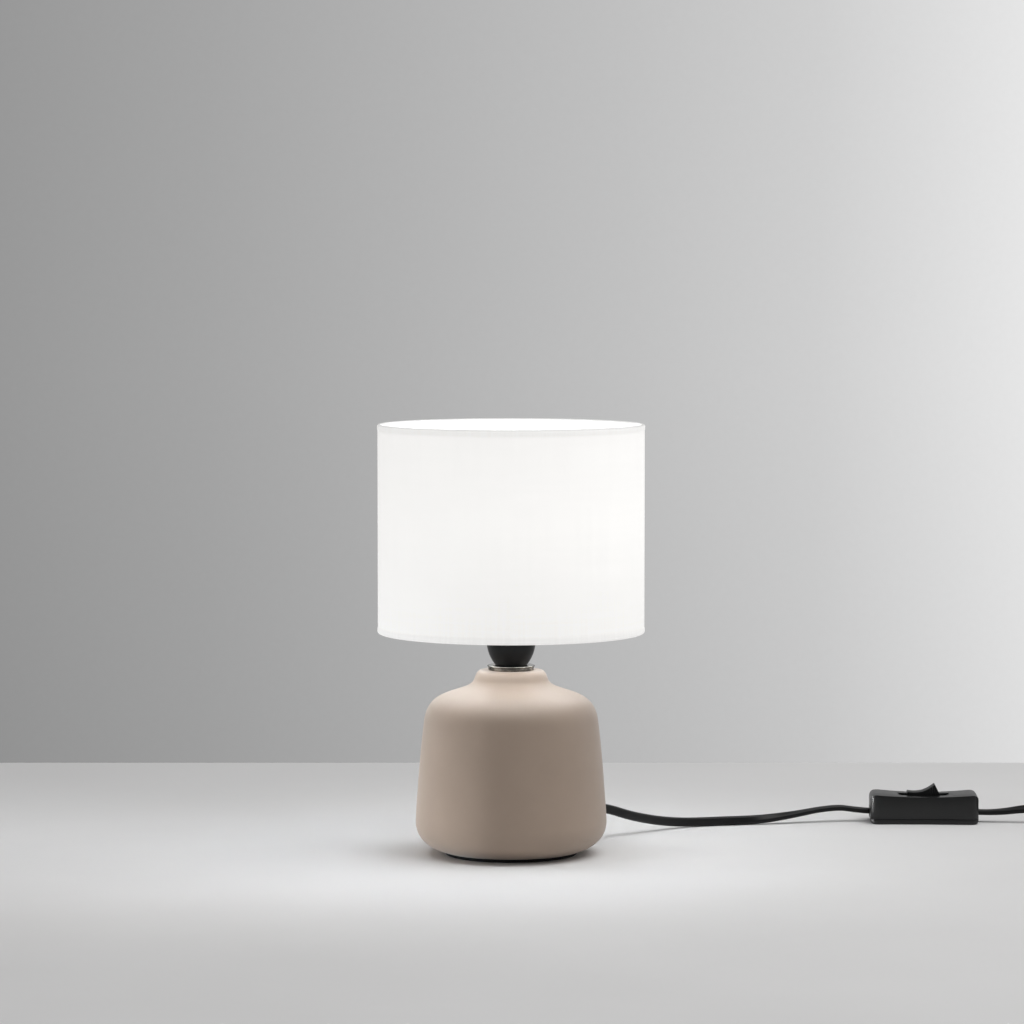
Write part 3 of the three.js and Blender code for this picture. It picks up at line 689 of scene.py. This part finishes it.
def softened(name, node, material, width, segments=3):
    """The CAD node's own shape with its edges rounded over; it stands for the node."""
    mesh = frame["nodes"][node].data.copy()
    work = bmesh.new()
    work.from_mesh(mesh)
    bmesh.ops.remove_doubles(work, verts=work.verts, dist=2e-6)
    bmesh.ops.dissolve_limit(
        work, angle_limit=math.radians(1.5), verts=work.verts, edges=work.edges, delimit=set()
    )
    limit = math.radians(SOFTEN_FROM)
    edges = [e for e in work.edges if len(e.link_faces) == 2 and e.calc_face_angle() > limit]
    bmesh.ops.bevel(
        work,
        geom=edges,
        offset=width * MM,
        offset_type="OFFSET",
        segments=segments,
        profile=0.5,
        affect="EDGES",
        clamp_overlap=True,
    )
    bmesh.ops.triangulate(work, faces=[f for f in work.faces if len(f.verts) > 4])
    work.to_mesh(mesh)
    work.free()
    mesh.name = name
    piece = finished(mesh, name, frame["nodes"][node]["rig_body"], material, sharp=32)
    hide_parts(node)
    return piece


# ---------------------------------------------------------------- ceramic body and pad


def body_outline(fine):
    """Half the body's section: the outside from the foot up, then the inside from the neck down."""
    outer = [(31, PAD_THICK), (39.5, PAD_THICK)]
    outer += bezier((39.5, PAD_THICK), (49, 4.2), (56, 10.5), (BODY_RADIUS, 20), 2 * fine)
    outer += quadratic((BODY_RADIUS, 20), (53.9, 50), (50.7, 76), 2 * fine)
    outer += bezier((50.7, 76), (50, 85.5), (46.3, 90.4), (38.5, 93.3), 2 * fine)
    outer += bezier((38.5, 93.3), (29, 96.8), (22.8, 97.6), (21.3, 102.2), 2 * fine)
    outer += bezier((21.3, 102.2), (20.4, 104.9), (19.6, BODY_TOP), (16.6, BODY_TOP), fine)
    inner = [(5.4, BODY_TOP), (5.4, 101.6), (15.5, 101.2)]
    inner += bezier((15.5, 101.2), (17, 94), (27, 91.5), (34, 88.8), fine)
    inner += bezier((34, 88.8), (42, 86), (45.6, 83), (46.2, 74), fine)
    inner += quadratic((46.2, 74), (49.2, 50), (50.8, 20), fine)
    inner += bezier((50.8, 20), (50.6, 12.5), (44.5, 8.6), (31, 7.6), fine)
    return outer + inner


def hand_made(point):
    """A slip-cast wall wanders by a tenth of a millimetre, but not at the neck and foot, where parts fit."""
    out = Vector((point.x, point.y, 0))
    if out.length < 24 or point.z < 3:
        return point
    wander = noise.noise(point * 0.035) + 0.4 * noise.noise(point * 0.09)
    return point + out.normalized() * 0.12 * wander


def cut_with(piece, tool):
    """Subtracts tool from piece, and removes the tool."""
    modifier = piece.modifiers.new("cut", "BOOLEAN")
    modifier.operation = "DIFFERENCE"
    modifier.solver = "EXACT"
    modifier.object = tool
    bpy.context.view_layer.update()
    result = piece.evaluated_get(bpy.context.evaluated_depsgraph_get())
    mesh = bpy.data.meshes.new_from_object(result)
    piece.modifiers.clear()
    mesh.materials.clear()
    mesh.materials.append(piece.data.materials[0])
    piece.data = mesh
    bpy.data.objects.remove(tool)


def drill(radius, start, end):
    """A round cutting tool between two points, in millimetres."""
    mesh = bpy.data.meshes.new("drill")
    work = bmesh.new()
    axis = end - start
    place = Matrix.Translation((start + end) / 2 * MM)
    place = place @ axis.to_track_quat("Z", "Y").to_matrix().to_4x4()
    bmesh.ops.create_cone(
        work,
        cap_ends=True,
        segments=32,
        radius1=radius * MM,
        radius2=radius * MM,
        depth=axis.length * MM,
        matrix=place,
    )
    work.to_mesh(mesh)
    work.free()
    tool = bpy.data.objects.new("drill", mesh)
    bpy.context.scene.collection.objects.link(tool)
    return tool


def build_body():
    shell = turned(
        "ceramic_shell", body_outline(12), "lamp", CERAMIC, 160, sharp=50, wave=hand_made
    )
    hole_start = EXIT_TURN @ Vector((0, 42, EXIT_HEIGHT))
    hole_end = EXIT_TURN @ Vector((0, 62, EXIT_HEIGHT))
    cut_with(shell, drill(4.4, hole_start, hole_end))
    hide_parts("ceramic_body")


def build_pad():
    rim = [(30, 0.0), (37.9, 0.0), (38.4, 0.4), (38.5, 1.2), (38.2, PAD_THICK), (30, PAD_THICK)]
    middle = [(0.4, 0.05), (29.9, 0.05), (29.9, 1.6), (0.4, 1.6)]
    pad = turned("foam_foot", rim, "lamp", FOAM, 96)
    disc = turned("foam_disc", middle, "lamp", FOAM, 64)
    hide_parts("foot_pad")
    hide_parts("foot_pad")


build_body()
build_pad()

# ---------------------------------------------------------------- neck disc, lampholder and shade ring


def build_neck_disc():
    disc = [(5.3, BODY_TOP), (13.0, BODY_TOP), (13.3, BODY_TOP + 0.25), (13.35, BODY_TOP + 1.7)]
    disc += [(13.5, BODY_TOP + 1.95), (13.82, BODY_TOP + 2.15), (13.85, BODY_TOP + 2.3)]
    disc += [(13.85, HOLDER_BASE - 0.3), (13.7, HOLDER_BASE - 0.08), (13.4, HOLDER_BASE), (5.3, HOLDER_BASE)]
    neck = turned("nickel_neck_disc", disc, "lamp", NECK_NICKEL_PAINTED_REFLECTION, 128, sharp=25)
    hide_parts("neck_cap")


def build_holder_cap():
    cap = [(5.1, HOLDER_BASE), (8.9, HOLDER_BASE), (9.2, HOLDER_BASE + 0.15)]
    cap += bezier((9.35, HOLDER_BASE + 0.4), (11.4, 113), (13.9, 117.5), (14.25, CAP_RIM - 0.5), 24)
    cap += [(14.3, CAP_RIM - 0.3), (14.2, CAP_RIM), (12.4, CAP_RIM), (12.4, 118), (10.2, 114.4)]
    cap += [(7.4, 114.4), (7.4, 117.3), (5.1, 117.3)]
    dome = turned("holder_dome", cap, "lamp", HOLDER_BLACK, 128)
    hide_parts("holder_cap")


def build_holder_barrel():
    """A barrel with a flange for the shade, and above it the thread that the shade ring runs on."""
    thread = []
    for i in range(60):
        z = 139.5 + i * 0.25
        thread.append((13.62 + 0.2 * math.cos(2 * math.pi * z / BARREL_PITCH), z))
    barrel = [(11.3, 118.4), (12.2, 118.4), (12.2, 124.1), (13.9, 124.1), (14.1, 124.3)]
    barrel += [(14.1, 135.6), (14.4, 135.85), (16.9, 135.95), (17.2, 136.2), (17.2, FLANGE_TOP - 0.2)]
    barrel += [(17.0, FLANGE_TOP), (13.8, FLANGE_TOP), (13.8, 139.2), *thread, (13.5, 154.4)]
    barrel += [(12.9, 154.8), (12.9, 157.6), (12.6, 158), (12.0, 158), (11.7, 157.7), (11.3, 156)]
    body = turned("holder_barrel_threaded", barrel, "lamp", HOLDER_BLACK, 96, sharp=40)
    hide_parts("holder_barrel")


def build_shade_ring():
    """A plain ring but for the knurls round its outside."""
    knurls, steps, dent = 36, 6, 0.35
    rim = 18.2
    profile = [(18.0, 139.3), (rim, 139.6), (rim, 144.8), (17.9, 145.3), (17.4, 145.6)]
    profile += [(14.5, 145.6), (14.2, 145.3), (14.2, 139.5), (14.4, 139.3)]
    count = knurls * steps
    points = []
    for r, z in profile:
        for i in range(count):
            a = 2 * math.pi * i / count
            inset = dent * max(0.0, math.cos(knurls * a)) if r == rim else 0.0
            points.append(((r - inset) * math.cos(a), (r - inset) * math.sin(a), z))
    faces = ring_faces(count, len(profile), True)
    ring = made_piece("knurled_shade_ring", points, faces, "ring", HOLDER_BLACK)
    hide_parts("shade_ring")


build_neck_disc()
build_holder_cap()
build_holder_barrel()
build_shade_ring()

# ---------------------------------------------------------------- bushing at the cord's exit


def build_bushing():
    """Its profile's points are (radius, distance from the lamp's axis)."""
    profile = [(3.05, 45.6), (5.4, 45.6), (5.6, 45.9), (5.6, 47.2), (4.2, 48.2), (4.1, 48.6), (4.1, 57.0)]
    profile += [(6.2, 57.1), (6.45, 57.4), (6.35, 58.5), (5.9, 59.0), (5.0, 59.6)]
    at = 59.6
    for i in range(4):  # flex ribs, smaller towards the cord
        big = 4.9 - i * 0.3
        profile += [(big, at + 0.1), (big, at + 0.9), (big - 0.7, at + 1.05), (big - 0.7, at + 1.45)]
        at += 1.5
    profile += [(3.5, at + 0.2), (3.3, 66.0), (3.05, 66.0)]
    count = 48
    points = []
    for r, y in profile:
        for i in range(count):
            a = 2 * math.pi * i / count
            place = Vector((r * math.cos(a), y, EXIT_HEIGHT + r * math.sin(a)))
            points.append(EXIT_TURN @ place)
    faces = ring_faces(count, len(profile), True)
    piece = made_piece("ribbed_cord_bushing", points, faces, "lamp", PLUG_BLACK)
    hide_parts("cord_bushing")


build_bushing()

# ---------------------------------------------------------------- shade

SHADE_ROLL_CENTRE = SHADE_RADIUS - HEM  # radius at which the edge wires run


def rolled(radius, height, up):
    """The points of a roll round an edge wire, from the outside in. up is 1 at the top, -1 at the bottom."""
    steps = 14
    points = []
    for i in range(steps + 1):
        a = math.pi * 1.15 * i / steps
        points.append((SHADE_ROLL_CENTRE + radius * math.cos(a), height + up * radius * math.sin(a)))
    return points


def shade_profile():
    """One thin skin: it rolls round each edge wire, and bulges a little where it is rolled."""
    low, high = SHADE_BOTTOM + HEM, SHADE_TOP - HEM
    hem_low, hem_high = SHADE_BOTTOM + HEM_TALL, SHADE_TOP - HEM_TALL
    skin, inside, bulge = SHADE_RADIUS - 0.25, SHADE_RADIUS - 0.65, SHADE_RADIUS - 0.03
    outer = [(skin, hem_low + 0.5), (skin, hem_high - 0.5), (skin + 0.05, hem_high - 0.1)]
    outer += [(bulge, hem_high + 0.4), *rolled(HEM, high, 1)]
    inner = [*reversed(rolled(HEM - CLOTH_THICK, high, 1)), (inside, hem_high - 0.6)]
    inner += [(inside, hem_low + 0.6), *rolled(HEM - CLOTH_THICK, low, -1)]
    outer_low = [*reversed(rolled(HEM, low, -1)), (bulge, hem_low - 0.4), (skin + 0.05, hem_low + 0.1)]
    return outer + inner + outer_low


def strip(name, radius, thick, low, high, middle, half_angle, material):
    """A thin curved strip on the shade, between two heights, round an azimuth."""
    points = []
    steps = 10
    for i in range(steps + 1):
        a = middle + half_angle * (2 * i / steps - 1)
        c, s = math.cos(a), math.sin(a)
        outside = radius + thick * (0.4 if i in (0, steps) else 1.0)
        for r, z in ((radius, low), (outside, low), (outside, high), (radius, high)):
            points.append((r * c, r * s, z))
    faces = ring_faces(4, steps + 1, False)
    faces += [(3, 2, 1, 0), tuple(range(len(points) - 4, len(points)))]
    return made_piece(name, points, faces, "shade", material, 60)


def band(name, outside, inside, low, high, material):
    """A thin straight ring inside the shade."""
    section = [(outside, low), (outside, high), (inside, high), (inside, low)]
    return turned(name, section, "shade", material, 144)


def build_shade():
    # the cloth's glow is painted light from the bulb inside
    cloth = shade_surface("shade_cloth_painted_glow", 0.79, 0.695)
    # the seam's painted glow is dimmer: painted shade where the overlapped cloth lets less light through
    seam_cloth = shade_surface("seam_cloth_painted_dimmer_glow", 0.66, 0.6)
    skin = turned("shade_cloth", shade_profile(), "shade", cloth, 180, sharp=70)
    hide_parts("shade_fabric")
    back, seam_half = math.pi / 2, math.radians(3.8)
    bands = [
        band("shade_film", 76.75, 76.5, 133.2, 245.8, LINING_PAINTED_GLOW),
        band("shade_turn_in_low", 76.45, 76.1, 132.8, 139.5, cloth),
        band("shade_turn_in_high", 76.45, 76.1, 240.7, 247.4, cloth),
        strip("shade_seam", 77.2, 0.4, 129.8, 249.4, back, seam_half, seam_cloth),
    ]
    for name, height in (("top", SHADE_TOP - HEM), ("bottom", SHADE_BOTTOM + HEM)):
        circle = [2 * math.pi * i / 12 for i in range(12)]
        loop = [(SHADE_ROLL_CENTRE + WIRE * math.cos(a), height + WIRE * math.sin(a)) for a in circle]
        wire = turned(f"shade_wire_{name}", loop, "shade", STEEL, 144)
        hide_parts(f"shade_{name}_wire")


build_shade()

# ---------------------------------------------------------------- bulb


def build_globe():
    """A globe that is cut off flat where it sits on the collar."""
    steps = 24
    start, end = math.asin((GLOBE_CUT - GLOBE_CENTRE) / GLOBE_RADIUS), math.radians(89.2)
    profile = [(0.3, GLOBE_CUT + 0.05), (math.cos(start) * GLOBE_RADIUS - 0.4, GLOBE_CUT)]
    for i in range(steps + 1):
        a = start + (end - start) * i / steps
        profile.append((GLOBE_RADIUS * math.cos(a), GLOBE_CENTRE + GLOBE_RADIUS * math.sin(a)))
    globe = turned("opal_globe", profile, "bulb", GLOBE, 72, closed=False)
    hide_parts("bulb_globe")


def build_collar():
    collar = [(0.8, 155.1), (8.6, 155.1), (8.9, 155.4)]
    collar += bezier((8.9, 155.4), (9.6, 162), (14, 168), (18.6, 172.7), 12)
    collar += [(18.5, 173.0), (0.8, 173.0)]
    base = turned("bulb_collar_smooth", collar, "bulb", WHITE_PLASTIC, 72)
    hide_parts("bulb_collar")


def build_bulb_cap():
    cap = [(0.8, 134.7), (5.8, 134.7), (6.2, 135.4)]
    for i in range(64):
        z = 137 + i * 0.22
        cap.append((6.65 + 0.27 * math.sin(2 * math.pi * z / CAP_PITCH), z))
    cap += [(6.9, 151.4), (7.4, 152.1), (8.3, 152.8), (8.3, 154.9), (0.8, 155)]
    shell = turned("bulb_cap_threaded", cap, "bulb", NICKEL, 64)
    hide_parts("bulb_cap")


build_globe()
build_collar()
build_bulb_cap()

# ---------------------------------------------------------------- in-line switch and plug

switch_pieces = [
    softened("switch_case_top", "switch_upper_shell", SWITCH_BLACK, 0.9, 4),
    softened("switch_case_bottom", "switch_lower_cover", SWITCH_BLACK, 0.35),
    softened("rocker_key", "rocker", ROCKER_BLACK, 0.4),
]
plug_pieces = [softened("plug_shell", "plug_body", PLUG_BLACK, 0.8)]

# ---------------------------------------------------------------- carried-over nodes

CARRIED = {
    "steel": STEEL,
    "nickel": NICKEL,
    "holder_black": HOLDER_BLACK,
    "black_plastic": SWITCH_BLACK,
    "porcelain": PORCELAIN,
    "brass": BRASS,
    "cord_pvc": CORD_BLACK,
    "brown_core": BROWN_CORE,
    "blue_core": BLUE_CORE,
    "white_plastic": WHITE_PLASTIC,
    "white_enamel": WHITE_ENAMEL,
    "foam": FOAM,
    "ceramic": CERAMIC,
    "bulb_opal": GLOBE,
    "shade_fabric": LINING_PAINTED_GLOW,
}


def dress_frame():
    """Every CAD node gets the material of its slot."""
    slots = {entry["node"]: entry["material_slot"] for entry in frame["record"]["subparts"]}
    for name, node in frame["nodes"].items():
        node.data.materials.clear()
        node.data.materials.append(CARRIED[slots[name]])


dress_frame()

# ---------------------------------------------------------------- floor, wall tone and lights

FLOOR_REACH = 3.2
FLOOR_REAR = 0.415
WALL_REACH = 0.122  # half the wall's width in the view, as a direction
# each is a place across the wall, from 0 to 1, and its grey there
WALL_TONES = ((0.0, 0.314), (0.2, 0.372), (0.4, 0.445), (0.62, 0.533), (0.8, 0.62), (0.9, 0.705), (1.0, 0.79))


def build_floor():
    made = Surface("pale_floor", 0.75, specular=0.06)
    cloud = made.noise(6, 4, 0.5)
    made.colour(made.ramp(cloud, (0.3, (0.74, 0.735, 0.73)), (0.7, (0.765, 0.76, 0.755))))
    made.rough(made.noise(40, 3, 0.5), 0.7, 0.82)
    made.bump(made.noise(900, 2, 0.5), 0.00002, 0.2)
    mesh = bpy.data.meshes.new("floor")
    outline = [(-1, -FLOOR_REACH), (1, -FLOOR_REACH), (1, FLOOR_REAR), (-1, FLOOR_REAR)]
    mesh.from_pydata([(side * FLOOR_REACH, y, 0) for side, y in outline], [], [(0, 1, 2, 3)])
    mesh.materials.append(made.material)
    floor = bpy.data.objects.new("floor", mesh)
    bpy.context.scene.collection.objects.link(floor)


def build_world():
    """A grey studio wall, darker on the left, is seen directly. The light it gives is an even tone, and what
    gloss mirrors is a room that is dark in front of the lamp and paler behind it."""
    world = bpy.data.worlds.new("studio")
    bpy.context.scene.world = world
    world.use_nodes = True
    world.node_tree.nodes.clear()
    made = Nodes(world.node_tree, "Generated")
    x, y, z = made.axes()

    def background(colour, strength):
        return made.feed(made.node("ShaderNodeBackground"), colour, strength)

    across = made.mapped(x, 0, 1, -WALL_REACH, WALL_REACH)
    tone = made.ramp(across, *((at, (grey, grey, grey * 1.002)) for at, grey in WALL_TONES))
    lower = made.ramp(made.mapped(z, 0, 1, -0.13, 0), (0.0, 0.91), (0.75, 1.0))
    grain = made.mapped(made.noise(700, 2), 0.985, 1.015)
    wall = background(tone, made.maths("MULTIPLY", grain, lower))
    even = background((0.42, 0.42, 0.425, 1), 0.66)
    room = made.ramp(made.mapped(y, 0, 1, -1, 1), (0.0, 0.03), (1.0, 0.5))
    mirrored = background(room, 1.0)
    seen = made.node("ShaderNodeLightPath").outputs
    given = made.feed(made.node("ShaderNodeMixShader"), seen["Is Glossy Ray"], even, mirrored)
    both = made.feed(made.node("ShaderNodeMixShader"), seen["Is Camera Ray"], given, wall)
    made.link(both, made.node("ShaderNodeOutputWorld").inputs["Surface"])


def area_light(name, place, target, size, power, spread=180):
    data = bpy.data.lights.new(name, "AREA")
    data.shape = "RECTANGLE"
    data.size, data.size_y = size
    data.energy = power
    data.spread = math.radians(spread)
    light = bpy.data.objects.new(name, data)
    bpy.context.scene.collection.objects.link(light)
    light.location = place
    aim = Vector(target) - Vector(place)
    light.rotation_euler = aim.to_track_quat("-Z", "Y").to_euler()
    return light


def build_bulb_light():
    """The light that comes out of the globe."""
    data = bpy.data.lights.new("bulb_light", "POINT")
    data.energy = 2.95
    data.shadow_soft_size = 0.024
    data.color = (0.82, 0.91, 1.0)
    bulb = bpy.data.objects.new("bulb_light", data)
    bulb.location = (0, 0, GLOBE_CENTRE * MM)
    bpy.context.scene.collection.objects.link(bulb)


def build_lights():
    """Two broad softboxes light the room; the narrow lights on the left are a low strip along the table,
    a glint for the switch, and a touch of fill on the floor."""
    strip_light = area_light("left_strip", (-0.9, 0.13, 0.03), (0, 0, 0.024), (0.35, 0.012), 0.2, spread=24)
    strip_light.visible_glossy = False
    strip_light.data.color = (0.88, 0.94, 1.0)
    glint = area_light("switch_glint", (-0.5, 0.2, 0.014), (0.22, 0.13, 0.01), (0.1, 0.03), 0.019, spread=12)
    glint.visible_diffuse = False
    area_light("left_fill", (-0.72, -0.1, 1.4), (-0.13, -0.04, 0), (0.3, 0.3), 0.08, spread=18)
    area_light("right_softbox", (2.0, 0.5, 0.9), (0.1, 0, 0.1), (0.8, 1.2), 3.1)
    area_light("overhead", (0.9, -0.25, 1.9), (0.3, 0, 0), (1.8, 1.4), 26)
    build_bulb_light()


build_floor()
build_world()
build_lights()
bpy.context.scene.view_settings.view_transform = "Standard"
